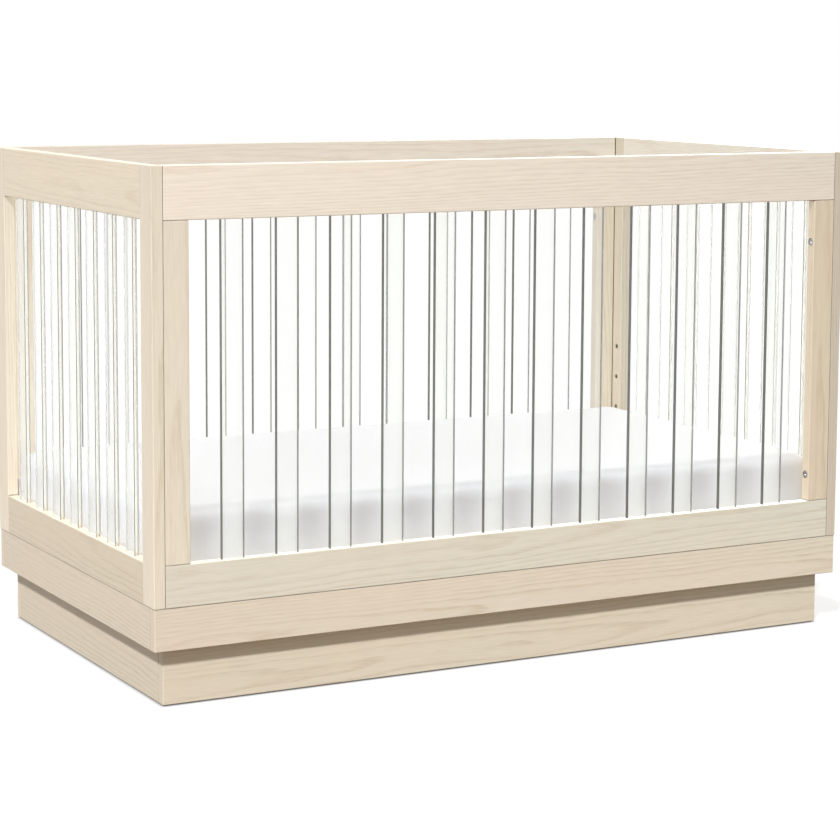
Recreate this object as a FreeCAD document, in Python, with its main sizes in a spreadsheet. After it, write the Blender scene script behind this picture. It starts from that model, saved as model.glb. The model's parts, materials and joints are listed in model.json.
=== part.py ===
import FreeCAD
import Part
import Sketcher
import os

# A full-size baby crib: four wooden panels with clear flat slats, a skirt and a recessed plinth under
# them, a steel mattress support that hooks onto the corner posts at one of four heights, a mattress.
#
# Millimetres, +Z up. The front faces -Y and the long way is X. The origin is on the floor, under the
# middle of the crib. Every size that can be chosen by itself is one cell of the sheet "crib", and
# every other size and place is a formula of those cells.

SIZES = {
    # the whole crib
    "overall_length": 1365,
    "overall_depth": 762,
    "overall_height": 883,
    # base, from the floor up
    "glide_height": 2,
    "glide_diameter": 16,
    "glide_pin_diameter": 3,
    "glide_pin_length": 12,
    "glide_end_distance": 60,
    "plinth_height": 95,
    "plinth_inset": 24,
    "skirt_height": 71,
    "skirt_reveal": 1,
    "plinth_thickness": 19,
    "cleat_width": 40,
    "cleat_height": 18,
    "block_leg": 34,
    "block_clearance": 5,
    # panels
    "panel_thickness": 20,
    "top_rail_height": 88,
    "bottom_rail_height": 70,
    "end_stile_width": 49,
    "side_stile_width": 44,
    "edge_radius": 1.5,
    # slats
    "slat_width": 40,
    "slat_thickness": 8,
    "slat_edge_radius": 1,
    "slat_clearance": 0.5,
    "mortise_depth": 12,
    "side_slat_count": 12,
    "end_slat_count": 7,
    # dowels
    "dowel_diameter": 8,
    "dowel_length": 36,
    "dowel_chamfer": 1,
    "dowel_clearance": 0.1,
    "rail_dowel_spacing": 34,
    "stile_dowel_spacing": 22,
    "locator_length": 24,
    # the bolts that join the side panels to the ends, and all threaded inserts
    "bolt_diameter": 6,
    "bolt_clearance": 0.4,
    "bolt_head_diameter": 13,
    "bolt_head_height": 4,
    "bolt_head_chamfer": 0.8,
    "bolt_tip_chamfer": 1,
    "bolt_recess": 5,
    "bolt_thread_length": 11,
    "bolt_socket_radius": 2.6,
    "bolt_socket_depth": 2.5,
    "thread_clearance": 0.05,
    "insert_diameter": 10,
    "insert_length": 13,
    "lower_bolt_above_rail": 48.5,
    "upper_bolt_below_rail": 76.5,
    # the row of holes that sets the height of the mattress
    "first_hole_height": 84.5,
    "hole_pitch": 64,
    "hole_count": 4,
    "hole_distance_in": 16,
    # mattress support
    "support_height": 16,
    "support_side_clearance": 11,
    "angle_leg": 25,
    "angle_thickness": 2,
    "angle_end_clearance": 8.5,
    "bracket_thickness": 2.5,
    "bracket_clearance": 0.3,
    "bracket_foot_length": 75,
    "bracket_foot_height": 31,
    "bracket_tab_outer": 13,
    "bracket_tab_inner": 17,
    "bracket_above_hook": 15.5,
    "hook_clearance": 0.4,
    "support_head_diameter": 12,
    "support_head_height": 3.5,
    "rivet_diameter": 5,
    "rivet_head_diameter": 9,
    "rivet_head_height": 2,
    "rivet_height": 13,
    "rivet_spacing": 22,
    "rivet_end_distance": 22,
    "wire_diameter": 4,
    "cross_wire_count": 13,
    "cross_wire_end_distance": 35,
    "long_wire_count": 5,
    "long_wire_side_distance": 85,
    # mattress
    "mattress_thickness": 127,
    "mattress_clearance": 2.5,
    "mattress_above_wires": 0.3,
    "mattress_corner_radius": 28,
    "mattress_edge_radius": 12,
    # steel plates and screws that hold the base together
    "tie_plate_length": 40,
    "tie_plate_width": 18,
    "tie_plate_thickness": 1.5,
    "tie_screw_offset": 11,
    "side_tie_spacing": 420,
    "end_tie_spacing": 180,
    "screw_diameter": 4,
    "screw_head_diameter": 7.5,
    "screw_head_height": 1.8,
    "screw_bite": 13,
    "screw_clearance": 0.1,
    "side_cleat_screw_spacing": 400,
    "end_cleat_screw_spacing": 200,
    "cleat_screw_offset": 30,
}


class Size:
    """A length that carries both its present value and the sheet formula that gives it."""

    def __init__(self, formula, value):
        self.formula = formula
        self.value = value

    def joined(self, sign, other, other_first=False):
        first, second = (as_size(other), self) if other_first else (self, as_size(other))
        values = {
            "+": first.value + second.value,
            "-": first.value - second.value,
            "*": first.value * second.value,
            "/": first.value / second.value if second.value else None,
        }
        return Size(f"({first.formula} {sign} {second.formula})", values[sign])

    def __add__(self, other):
        return self.joined("+", other)

    def __sub__(self, other):
        return self.joined("-", other)

    def __mul__(self, other):
        return self.joined("*", other)

    def __truediv__(self, other):
        return self.joined("/", other)

    def __radd__(self, other):
        return self.joined("+", other, other_first=True)

    def __rsub__(self, other):
        return self.joined("-", other, other_first=True)

    def __rmul__(self, other):
        return self.joined("*", other, other_first=True)

    def __neg__(self):
        return self * -1


def as_size(number):
    return number if isinstance(number, Size) else Size(str(number), number)


class Sizes:
    """The cells of the sheet, each read by its name."""


doc = FreeCAD.newDocument("baby_crib")
sheet = doc.addObject("Spreadsheet::Sheet", "crib")
crib = Sizes()
for row, (alias, value) in enumerate(SIZES.items(), start=1):
    sheet.set(f"A{row}", alias.replace("_", " "))
    sheet.set(f"B{row}", str(value))
    sheet.setAlias(f"B{row}", alias)
    setattr(crib, alias, Size(f"crib.{alias}", value))
doc.recompute()

# Heights above the floor
skirt_base = crib.glide_height + crib.plinth_height
body_base = skirt_base + crib.skirt_height
opening_base = body_base + crib.bottom_rail_height
opening_top = crib.overall_height - crib.top_rail_height
opening_height = opening_top - opening_base
support_base = body_base + crib.support_height
lower_bolt_height = opening_base + crib.lower_bolt_above_rail
upper_bolt_height = opening_top - crib.upper_bolt_below_rail
hook_height = body_base + crib.first_hole_height

# Distances from the middle of the crib
half_length = crib.overall_length / 2
half_depth = crib.overall_depth / 2
inner_x = half_length - crib.panel_thickness
inner_y = half_depth - crib.panel_thickness
skirt_x = half_length - crib.skirt_reveal
skirt_y = half_depth - crib.skirt_reveal
plinth_x = half_length - crib.plinth_inset
plinth_y = half_depth - crib.plinth_inset
plinth_inner_x = plinth_x - crib.plinth_thickness
plinth_inner_y = plinth_y - crib.plinth_thickness
panel_middle = crib.panel_thickness / 2
skirt_thickness = crib.panel_thickness - crib.skirt_reveal  # flush with the panels inside
bracket_x = inner_x - crib.bracket_clearance
bracket_inner_x = bracket_x - crib.bracket_thickness
support_y = inner_y - crib.support_side_clearance
hole_y = inner_y - crib.hole_distance_in

# Lengths of the pieces
side_length = inner_x * 2
end_rail_length = crib.overall_depth - crib.end_stile_width * 2
mattress_length = (bracket_inner_x - crib.angle_thickness - crib.mattress_clearance) * 2
mattress_width = (support_y - crib.angle_thickness - crib.mattress_clearance) * 2

# Each panel is laid out as someone standing outside sees it: x to their right from its middle, y from
# its outer face inwards, z up. It stands at a distance from the middle of the crib, turned about +Z.
PANELS = {
    "front": (0, half_depth),
    "right": (90, half_length),
    "back": (180, half_depth),
    "left": (270, half_length),
}
SIDES = ("front", "back")
ENDS = ("left", "right")

nodes = []


def bind(thing, property_name, size):
    thing.setExpression(property_name, as_size(size).formula)


def node(thing, label):
    """Names an object as one piece of the crib, written to a file of that name."""
    thing.Label = label
    nodes.append(thing)
    return thing


def place_on(panel, thing, x, y, z):
    """Places an object in one panel's own layout."""
    angle, distance = PANELS[panel]
    outward = distance - y
    base = {0: (x, -outward), 90: (outward, x), 180: (-x, outward), 270: (-outward, -x)}[angle]
    turn = FreeCAD.Rotation(FreeCAD.Vector(0, 0, 1), angle)
    thing.Placement = FreeCAD.Placement(FreeCAD.Vector(), turn)
    bind(thing, "Placement.Base.x", base[0])
    bind(thing, "Placement.Base.y", base[1])
    bind(thing, "Placement.Base.z", z)


def new_body(name):
    body = doc.addObject("PartDesign::Body", name)
    body.AllowCompound = True
    return body


def origin_feature(body, role):
    return [feature for feature in body.Origin.OriginFeatures if feature.Role == role][0]


def sketch_across(body, axis, x=0, y=0, z=0):
    """A sketch square to an axis, with its own origin at (x, y, z) of the body."""
    plane, offset = {
        "x": ("YZ_Plane", (y, z, x)),
        "y": ("XZ_Plane", (x, z, -as_size(y))),
        "z": ("XY_Plane", (x, y, z)),
    }[axis]
    sketch = body.newObject("Sketcher::SketchObject", "Sketch")
    sketch.AttachmentSupport = [(origin_feature(body, plane), "")]
    sketch.MapMode = "FlatFace"
    for letter, distance in zip("xyz", offset):
        bind(sketch, f"AttachmentOffset.Base.{letter}", distance)
    return sketch


def dimension(sketch, kind, *where, size):
    """Adds one dimension to a sketch and ties it to a size."""
    index = sketch.addConstraint(Sketcher.Constraint(kind, *where, as_size(size).value))
    bind(sketch, f"Constraints[{index}]", size)


def hold_point(sketch, geometry, end, x, y):
    """Holds a point of a sketch at two distances from the sketch's origin."""
    dimension(sketch, "DistanceX", -1, 1, geometry, end, size=x)
    dimension(sketch, "DistanceY", -1, 1, geometry, end, size=y)


def vector(x, y, z=0):
    return FreeCAD.Vector(as_size(x).value, as_size(y).value, as_size(z).value)


def draw_outline(sketch, points):
    """A closed outline of straight lines through points."""
    count = len(points)
    lines = []
    for i in range(count):
        line = Part.LineSegment(vector(*points[i]), vector(*points[(i + 1) % count]))
        lines.append(sketch.addGeometry(line))
    for i in range(count):
        sketch.addConstraint(Sketcher.Constraint("Coincident", lines[i], 2, lines[(i + 1) % count], 1))
        hold_point(sketch, lines[i], 1, *points[i])


def draw_circle(sketch, x, y, diameter):
    circle = sketch.addGeometry(Part.Circle(vector(x, y), vector(0, 0, 1), as_size(diameter).value / 2))
    dimension(sketch, "Diameter", circle, size=diameter)
    hold_point(sketch, circle, 3, x, y)


def rectangle(x, y, width, height):
    return [(x, y), (x + width, y), (x + width, y + height), (x, y + height)]


def pad(body, axis, sketch, length):
    """Pads a sketch along the positive direction of its axis."""
    feature = body.newObject("PartDesign::Pad", "Pad")
    feature.Profile = sketch
    feature.Reversed = axis == "y"
    bind(feature, "Length", length)
    return feature


def cut(body, face, sketch, depth):
    """Cuts a sketch into the body from a face, such as "+x", whose outward direction it names."""
    pocket = body.newObject("PartDesign::Pocket", "Pocket")
    pocket.Profile = sketch
    pocket.Reversed = face in ("-x", "+y", "-z")
    bind(pocket, "Length", depth)
    return pocket


def bore(body, face, at, spots, diameter, depth):
    """Round holes from a face at a distance along its axis, at (x, y) spots of the sketch there."""
    axis = face[1]
    sketch = sketch_across(body, axis, **{axis: at})
    for spot in spots:
        draw_circle(sketch, *spot, diameter)
    return cut(body, face, sketch, depth)


def round_edges(body, feature, radius):
    """Rounds every edge of a blank a little, as a router and sandpaper leave it."""
    doc.recompute()
    fillet = body.newObject("PartDesign::Fillet", "Fillet")
    fillet.Base = (feature, [f"Edge{i + 1}" for i in range(len(feature.Shape.Edges))])
    bind(fillet, "Radius", radius)


def revolve(body, axis, x, y, z, outline):
    """Turns an outline about an axis through (x, y, z). Its points are (distance along, radius)."""
    sketch = sketch_across(body, "x" if axis == "y" else "y", x, y, z)
    upright = axis == "z"
    draw_outline(sketch, [(radius, along) if upright else (along, radius) for along, radius in outline])
    feature = body.newObject("PartDesign::Revolution", "Revolution")
    feature.Profile = sketch
    feature.ReferenceAxis = (sketch, ["V_Axis" if upright else "H_Axis"])
    feature.Angle = 360
    return feature


def pattern(body, kind):
    feature = body.newObject(f"PartDesign::{kind}", kind)
    feature.TransformMode = "Whole shape"
    body.Tip = feature
    return feature


def row_of(body, axis, count, pitch):
    """Repeats the whole body along an axis."""
    row = pattern(body, "LinearPattern")
    row.Direction = (origin_feature(body, f"{axis.upper()}_Axis"), [""])
    bind(row, "Occurrences", count)
    bind(row, "Length", (as_size(count) - 1) * pitch)


def mirror(body, *axes):
    """Repeats the whole body on the other side of the crib, across each axis in turn."""
    for axis in axes:
        plane = {"x": "YZ_Plane", "y": "XZ_Plane"}[axis]
        pattern(body, "Mirrored").MirrorPlane = (origin_feature(body, plane), [""])


def plank(name, length, width, height, radius=crib.edge_radius):
    """A piece of wood with rounded edges, one corner at its own origin."""
    body = new_body(name)
    sketch = sketch_across(body, "z")
    draw_outline(sketch, rectangle(as_size(0), as_size(0), length, width))
    round_edges(body, pad(body, "z", sketch, height), radius)
    return body


# ---- panels ----------------------------------------------------------------------------------

dowel_hole = crib.dowel_diameter + crib.dowel_clearance * 2
insert_hole = crib.insert_diameter
screw_hole = crib.screw_diameter + crib.screw_clearance * 2
locator_depth = crib.locator_length / 2 + crib.dowel_clearance
dowel_depth = crib.dowel_length / 2 + crib.dowel_clearance


def slat_gap(length, stile_width, count):
    return (length - stile_width * 2 - crib.slat_width * count) / (count + 1)


side_gap = slat_gap(side_length, crib.side_stile_width, crib.side_slat_count)
end_gap = slat_gap(end_rail_length, as_size(0), crib.end_slat_count)


def make_rail(panel, level):
    """A top or bottom rail: mortises for the slats, and holes for dowels, locators and tie screws."""
    is_side = panel in SIDES
    is_top = level == "top"
    length = side_length if is_side else end_rail_length
    height = crib.top_rail_height if is_top else crib.bottom_rail_height
    stile_width = crib.side_stile_width if is_side else as_size(0)
    count = crib.side_slat_count if is_side else crib.end_slat_count
    gap = side_gap if is_side else end_gap
    rail = plank(f"{panel}_{level}_rail", length, crib.panel_thickness, height)

    face, at = ("-z", 0) if is_top else ("+z", height)
    sketch = sketch_across(rail, "z", z=at)
    first = stile_width + gap
    across = (crib.panel_thickness - crib.slat_thickness) / 2
    draw_outline(sketch, rectangle(first, across, crib.slat_width, crib.slat_thickness))
    slot = cut(rail, face, sketch, crib.mortise_depth)
    row = rail.newObject("PartDesign::LinearPattern", "Mortises")
    row.Originals = [slot]
    row.Direction = (sketch, ["H_Axis"])
    bind(row, "Occurrences", count)
    bind(row, "Length", (count - 1) * (crib.slat_width + gap))
    rail.Tip = row

    if is_side:
        middles = (stile_width / 2, length - stile_width / 2)
        spots = [(middle + crib.stile_dowel_spacing * side, panel_middle)
                 for middle in middles for side in (-0.5, 0.5)]
        bore(rail, face, at, spots, dowel_hole, dowel_depth)
        ends, depth = [(panel_middle, height / 2)], locator_depth
    else:
        ends = [(panel_middle, height / 2 + crib.rail_dowel_spacing * side) for side in (-0.5, 0.5)]
        depth = dowel_depth
    bore(rail, "-x", 0, ends, dowel_hole, depth)
    bore(rail, "+x", length, ends, dowel_hole, depth)

    if not is_top:
        spots = [(length / 2 + x, crib.tie_screw_offset) for x in tie_spots(is_side)]
        bore(rail, "+y", crib.panel_thickness, spots, screw_hole, crib.screw_bite)
    place_on(panel, rail, -length / 2, as_size(0), body_base if not is_top else opening_top)
    node(rail, rail.Name)


def tie_spots(is_side):
    spacing = crib.side_tie_spacing if is_side else crib.end_tie_spacing
    return [spacing * n for n in (-1, 0, 1)]


def make_slats(panel):
    is_side = panel in SIDES
    length = side_length if is_side else end_rail_length
    stile_width = crib.side_stile_width if is_side else as_size(0)
    count = crib.side_slat_count if is_side else crib.end_slat_count
    gap = side_gap if is_side else end_gap
    tenon = crib.mortise_depth - crib.slat_clearance
    slats = plank(f"{panel}_slats", crib.slat_width, crib.slat_thickness, opening_height + tenon * 2,
                  crib.slat_edge_radius)
    row_of(slats, "x", count, crib.slat_width + gap)
    across = (crib.panel_thickness - crib.slat_thickness) / 2
    place_on(panel, slats, -length / 2 + stile_width + gap, across, opening_base - tenon)
    node(slats, slats.Name)


def from_outer_edge(on_left, width, distance):
    """Turns a distance from a stile's outer edge into one from its left edge."""
    return as_size(distance) if on_left else width - distance


def make_end_stile(panel, on_left):
    """A corner post of an end panel, with its inserts on the inner face."""
    width = crib.end_stile_width
    depth_name = {("left", True): "back", ("left", False): "front",
                  ("right", True): "front", ("right", False): "back"}[panel, on_left]
    post_height = crib.overall_height - body_base
    stile = plank(f"{panel}_end_{depth_name}_stile", width, crib.panel_thickness, post_height)

    joint_x = from_outer_edge(on_left, width, panel_middle)
    hole_x = from_outer_edge(on_left, width, crib.panel_thickness + crib.hole_distance_in)
    inserts = [(joint_x, lower_bolt_height - body_base), (joint_x, upper_bolt_height - body_base)]
    for n in range(SIZES["hole_count"]):
        inserts.append((hole_x, crib.first_hole_height + crib.hole_pitch * n))
    bore(stile, "+y", crib.panel_thickness, inserts, insert_hole, crib.insert_length)

    top_middle = post_height - crib.top_rail_height / 2
    bottom_middle = crib.bottom_rail_height / 2
    locators = [(joint_x, bottom_middle), (joint_x, top_middle)]
    bore(stile, "+y", crib.panel_thickness, locators, dowel_hole, locator_depth)
    dowels = [(panel_middle, middle + crib.rail_dowel_spacing * side)
              for middle in (bottom_middle, top_middle) for side in (-0.5, 0.5)]
    bore(stile, "+x" if on_left else "-x", width if on_left else 0, dowels, dowel_hole, dowel_depth)

    x = -half_depth if on_left else half_depth - width
    place_on(panel, stile, x, as_size(0), body_base)
    node(stile, stile.Name)


def make_side_stile(panel, on_left):
    """An upright between a side panel's rails, bored through for the bolts into the end panel."""
    width = crib.side_stile_width
    name = {("front", True): "left", ("front", False): "right",
            ("back", True): "right", ("back", False): "left"}[panel, on_left]
    stile = plank(f"{panel}_{name}_stile", width, crib.panel_thickness, opening_height)
    bolts = [(panel_middle, lower_bolt_height - opening_base),
             (panel_middle, upper_bolt_height - opening_base)]
    face, at = ("+x", width) if on_left else ("-x", 0)
    bore(stile, face, at, bolts, crib.bolt_diameter + crib.bolt_clearance * 2, width)
    bore(stile, face, at, bolts, crib.bolt_head_diameter + crib.bolt_clearance * 2, crib.bolt_recess)
    dowels = [(width / 2 + crib.stile_dowel_spacing * side, panel_middle) for side in (-0.5, 0.5)]
    bore(stile, "-z", 0, dowels, dowel_hole, dowel_depth)
    bore(stile, "+z", opening_height, dowels, dowel_hole, dowel_depth)
    place_on(panel, stile, -inner_x if on_left else inner_x - width, as_size(0), opening_base)
    node(stile, stile.Name)


for panel in PANELS:
    for level in ("top", "bottom"):
        make_rail(panel, level)
    for on_left in (True, False):
        if panel in ENDS:
            make_end_stile(panel, on_left)
        else:
            make_side_stile(panel, on_left)
    make_slats(panel)


# ---- dowels, bolts and inserts in the panels ---------------------------------------------------

def dowel_outline(length):
    """Half of a dowel lying along its own axis, chamfered at both ends."""
    radius = crib.dowel_diameter / 2
    half = length / 2
    chamfer = crib.dowel_chamfer
    return [(-half, 0), (-half, radius - chamfer), (-half + chamfer, radius),
            (half - chamfer, radius), (half, radius - chamfer), (half, 0)]


rail_middles = (body_base + crib.bottom_rail_height / 2, opening_top + crib.top_rail_height / 2)

end_dowels = new_body("end_rail_dowels")
for middle in rail_middles:
    for side in (-0.5, 0.5):
        revolve(end_dowels, "y", -half_length + panel_middle, -end_rail_length / 2,
                middle + crib.rail_dowel_spacing * side, dowel_outline(crib.dowel_length))
mirror(end_dowels, "x", "y")
node(end_dowels, "end_rail_dowels")

side_dowels = new_body("side_stile_dowels")
for joint in (opening_base, opening_top):
    for side in (-0.5, 0.5):
        x = -inner_x + crib.side_stile_width / 2 + crib.stile_dowel_spacing * side
        revolve(side_dowels, "z", x, -half_depth + panel_middle, joint, dowel_outline(crib.dowel_length))
mirror(side_dowels, "x", "y")
node(side_dowels, "side_stile_dowels")

locators = new_body("panel_locator_dowels")
for middle in rail_middles:
    revolve(locators, "x", -inner_x, -half_depth + panel_middle, middle,
            dowel_outline(crib.locator_length))
mirror(locators, "x", "y")
node(locators, "panel_locator_dowels")


def add_insert(body, y, z):
    """A threaded insert in a left-hand post, flush with the post's inner face."""
    bore_radius = crib.bolt_diameter / 2 + crib.thread_clearance
    outline = rectangle(-crib.insert_length, bore_radius, crib.insert_length,
                        crib.insert_diameter / 2 - bore_radius)
    revolve(body, "x", -inner_x, y, z, outline)


side_inserts = new_body("side_joint_inserts")
for height in (lower_bolt_height, upper_bolt_height):
    add_insert(side_inserts, -half_depth + panel_middle, height)
mirror(side_inserts, "x", "y")
node(side_inserts, "side_joint_inserts")

height_inserts = new_body("height_inserts")
add_insert(height_inserts, -hole_y, hook_height)
row_of(height_inserts, "z", crib.hole_count, crib.hole_pitch)
mirror(height_inserts, "x", "y")
node(height_inserts, "height_inserts")


SIN_60 = 0.8660254


def add_bolt(body, head_face, tip, y, z, head_diameter, head_height):
    """A bolt along x with its head towards the middle of the crib and a hexagonal socket in it."""
    shank_radius = crib.bolt_diameter / 2
    head_radius = head_diameter / 2
    under_head = head_face - head_height
    chamfer = crib.bolt_head_chamfer
    outline = [(tip, 0), (head_face, 0), (head_face, head_radius - chamfer),
               (head_face - chamfer, head_radius), (under_head, head_radius), (under_head, shank_radius),
               (tip + crib.bolt_tip_chamfer, shank_radius), (tip, shank_radius - crib.bolt_tip_chamfer)]
    revolve(body, "x", 0, y, z, outline)
    corner = crib.bolt_socket_radius
    flat = corner * SIN_60
    hexagon = [(corner, 0), (corner / 2, flat), (-corner / 2, flat), (-corner, 0),
               (-corner / 2, -flat), (corner / 2, -flat)]
    sketch = sketch_across(body, "x", head_face, y, z)
    draw_outline(sketch, hexagon)
    cut(body, "+x", sketch, crib.bolt_socket_depth)


side_bolts = new_body("side_joint_bolts")
head_face = -inner_x + crib.side_stile_width - crib.bolt_recess + crib.bolt_head_height
for height in (lower_bolt_height, upper_bolt_height):
    add_bolt(side_bolts, head_face, -inner_x - crib.bolt_thread_length, -half_depth + panel_middle,
             height, crib.bolt_head_diameter, crib.bolt_head_height)
mirror(side_bolts, "x", "y")
node(side_bolts, "side_joint_bolts")

support_bolts = new_body("support_bolts")
head_face = -bracket_inner_x + crib.bracket_clearance + crib.support_head_height
add_bolt(support_bolts, head_face, -inner_x - crib.bolt_thread_length, -hole_y, hook_height,
         crib.support_head_diameter, crib.support_head_height)
mirror(support_bolts, "x", "y")
node(support_bolts, "support_bolts")


# ---- base --------------------------------------------------------------------------------------

cleat_screw_height = crib.cleat_height / 2


def make_board(panel, kind):
    """A board of the skirt or of the plinth. The side boards run the full length between corners."""
    is_side = panel in SIDES
    is_skirt = kind == "skirt"
    outer = (skirt_x, skirt_y) if is_skirt else (plinth_x, plinth_y)
    thickness = skirt_thickness if is_skirt else crib.plinth_thickness
    half = outer[0] if is_side else outer[1] - thickness
    height = crib.skirt_height if is_skirt else crib.plinth_height
    inset = crib.skirt_reveal if is_skirt else crib.plinth_inset
    board = plank(f"{kind}_{panel}_board", half * 2, thickness, height)
    if is_skirt:
        ties = [(half + x, height - crib.tie_screw_offset) for x in tie_spots(is_side)]
        bore(board, "+y", thickness, ties, screw_hole, crib.screw_bite)
        cleats = [(half + x, cleat_screw_height) for x in cleat_spots(is_side)]
        bore(board, "+y", thickness, cleats, screw_hole, crib.screw_bite)
    else:
        middle = thickness / 2
        downs = [(half + x, middle) for x in down_screw_spots(panel)]
        bore(board, "+z", height, downs, screw_hole, crib.screw_bite)
        if is_side:
            pins = [(half + x, middle) for x in glide_spots()]
            bore(board, "-z", 0, pins, crib.glide_pin_diameter, crib.glide_pin_length)
    base = skirt_base if is_skirt else crib.glide_height
    place_on(panel, board, -half, inset, base)
    node(board, board.Name)


def cleat_spots(is_side):
    spacing = crib.side_cleat_screw_spacing if is_side else crib.end_cleat_screw_spacing
    return [spacing * n for n in (-1, 0, 1)]


def down_screw_spots(panel):
    """The screws down through a cleat stand to the same side of the crib's middle in both panels."""
    towards = 1 if panel in ("front", "right") else -1
    return [x + crib.cleat_screw_offset * towards for x in cleat_spots(panel in SIDES)]


def glide_spots():
    reach = plinth_x - crib.glide_end_distance
    return [reach * n for n in (-1, 0, 1)]


def make_cleat(panel):
    """A batten on top of a plinth board, screwed sideways to the skirt and down to the plinth."""
    is_side = panel in SIDES
    half = inner_x if is_side else inner_y - crib.cleat_width
    cleat = plank(f"{panel}_cleat", half * 2, crib.cleat_width, crib.cleat_height)
    across = [(half + x, cleat_screw_height) for x in cleat_spots(is_side)]
    bore(cleat, "+y", crib.cleat_width, across, screw_hole, crib.cleat_width)
    board_middle = crib.plinth_inset + crib.plinth_thickness / 2 - crib.panel_thickness
    downs = [(half + x, board_middle) for x in down_screw_spots(panel)]
    bore(cleat, "+z", crib.cleat_height, downs, screw_hole, crib.cleat_height)
    place_on(panel, cleat, -half, crib.panel_thickness, skirt_base)
    node(cleat, cleat.Name)


for panel in PANELS:
    make_board(panel, "skirt")
    make_board(panel, "plinth")
    make_cleat(panel)

brace = plank("plinth_cross_brace", crib.plinth_thickness, plinth_inner_y * 2, crib.plinth_height)
bind(brace, "Placement.Base.x", -crib.plinth_thickness / 2)
bind(brace, "Placement.Base.y", -plinth_inner_y)
bind(brace, "Placement.Base.z", crib.glide_height)
node(brace, "plinth_cross_brace")


def make_corner_blocks(name, corner_x, corner_y, base, height):
    """A glued triangular block in each of four corners."""
    blocks = new_body(name)
    sketch = sketch_across(blocks, "z", -corner_x, -corner_y, base)
    draw_outline(sketch, [(0, 0), (crib.block_leg, 0), (0, crib.block_leg)])
    pad(blocks, "z", sketch, height)
    mirror(blocks, "x", "y")
    node(blocks, name)


make_corner_blocks("skirt_corner_blocks", inner_x, inner_y,
                   skirt_base + crib.cleat_height + crib.block_clearance,
                   crib.skirt_height - crib.cleat_height - crib.block_clearance * 2)
make_corner_blocks("plinth_corner_blocks", plinth_inner_x, plinth_inner_y,
                   crib.glide_height + crib.block_clearance,
                   crib.plinth_height - crib.block_clearance * 2)

glides = new_body("floor_glides")
radius = crib.glide_diameter / 2
pin_radius = crib.glide_pin_diameter / 2
rounding = crib.glide_height / 4
glide_outline = [(0, 0), (0, radius - rounding), (rounding, radius), (crib.glide_height, radius),
                 (crib.glide_height, pin_radius), (crib.glide_height + crib.glide_pin_length, pin_radius),
                 (crib.glide_height + crib.glide_pin_length, 0)]
revolve(glides, "z", glide_spots()[0], -plinth_y + crib.plinth_thickness / 2, 0, glide_outline)
row_of(glides, "x", 3, glide_spots()[2])
mirror(glides, "y")
node(glides, "floor_glides")


def add_screw(body, axis, x, y, z, outward, through):
    """A pan-head screw whose head's underside is at (x, y, z). It points along `outward` (+1 or -1)."""
    head_radius = crib.screw_head_diameter / 2
    shank_radius = crib.screw_diameter / 2
    head = crib.screw_head_height * -outward
    tip = (as_size(through) + crib.screw_bite - crib.screw_clearance) * outward
    point = crib.screw_diameter * outward
    outline = [(head, 0), (head, head_radius / 2), (head / 2, head_radius), (0, head_radius),
               (0, shank_radius), (tip - point, shank_radius), (tip, 0)]
    revolve(body, axis, x, y, z, outline)


def make_tie_plates(panel):
    """Steel plates that tie a bottom rail down to the skirt, with their screws, in both such panels."""
    is_side = panel in SIDES
    axis, along = ("y", "x") if is_side else ("x", "y")
    inner = inner_y if is_side else inner_x
    spacing = crib.side_tie_spacing if is_side else crib.end_tie_spacing
    kind = "side" if is_side else "end"
    plates = new_body(f"{kind}_tie_plates")
    start = -spacing
    corner = {along: start - crib.tie_plate_width / 2, axis: -inner,
              "z": body_base - crib.tie_plate_length / 2}
    sketch = sketch_across(plates, axis, **corner)
    draw_outline(sketch, rectangle(as_size(0), as_size(0), crib.tie_plate_width, crib.tie_plate_length))
    for side in (-1, 1):
        draw_circle(sketch, crib.tie_plate_width / 2, crib.tie_plate_length / 2
                    + crib.tie_screw_offset * side, screw_hole)
    pad(plates, axis, sketch, crib.tie_plate_thickness)
    row_of(plates, along, 3, spacing)
    mirror(plates, axis)
    node(plates, plates.Name)

    screws = new_body(f"{kind}_tie_screws")
    for side in (-1, 1):
        spot = {along: start, axis: -inner + crib.tie_plate_thickness,
                "z": body_base + crib.tie_screw_offset * side}
        add_screw(screws, axis, **spot, outward=-1, through=crib.tie_plate_thickness)
    row_of(screws, along, 3, spacing)
    mirror(screws, axis)
    node(screws, screws.Name)


def make_cleat_screws(panel):
    """The screws of a cleat, sideways into the skirt and down into the plinth, in both such panels."""
    is_side = panel in SIDES
    axis, along = ("y", "x") if is_side else ("x", "y")
    inner = inner_y if is_side else inner_x
    plinth = plinth_y if is_side else plinth_x
    spacing = crib.side_cleat_screw_spacing if is_side else crib.end_cleat_screw_spacing
    screws = new_body(f"{'side' if is_side else 'end'}_cleat_screws")
    across = {along: -spacing, axis: -inner + crib.cleat_width, "z": skirt_base + cleat_screw_height}
    add_screw(screws, axis, **across, outward=-1, through=crib.cleat_width)
    down = {along: -spacing + crib.cleat_screw_offset, axis: -plinth + crib.plinth_thickness / 2,
            "z": skirt_base + crib.cleat_height}
    add_screw(screws, "z", **down, outward=-1, through=crib.cleat_height)
    row_of(screws, along, 3, spacing)
    mirror(screws, axis)
    node(screws, screws.Name)


for panel in ("front", "left"):
    make_tie_plates(panel)
    make_cleat_screws(panel)


# ---- mattress support --------------------------------------------------------------------------

end_angle_half = support_y - crib.angle_leg
side_angle_half = bracket_inner_x - crib.angle_thickness - crib.angle_end_clearance / 2
rivet_spots = [end_angle_half - crib.rivet_end_distance - crib.rivet_spacing * n for n in (0, 1)]


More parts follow.
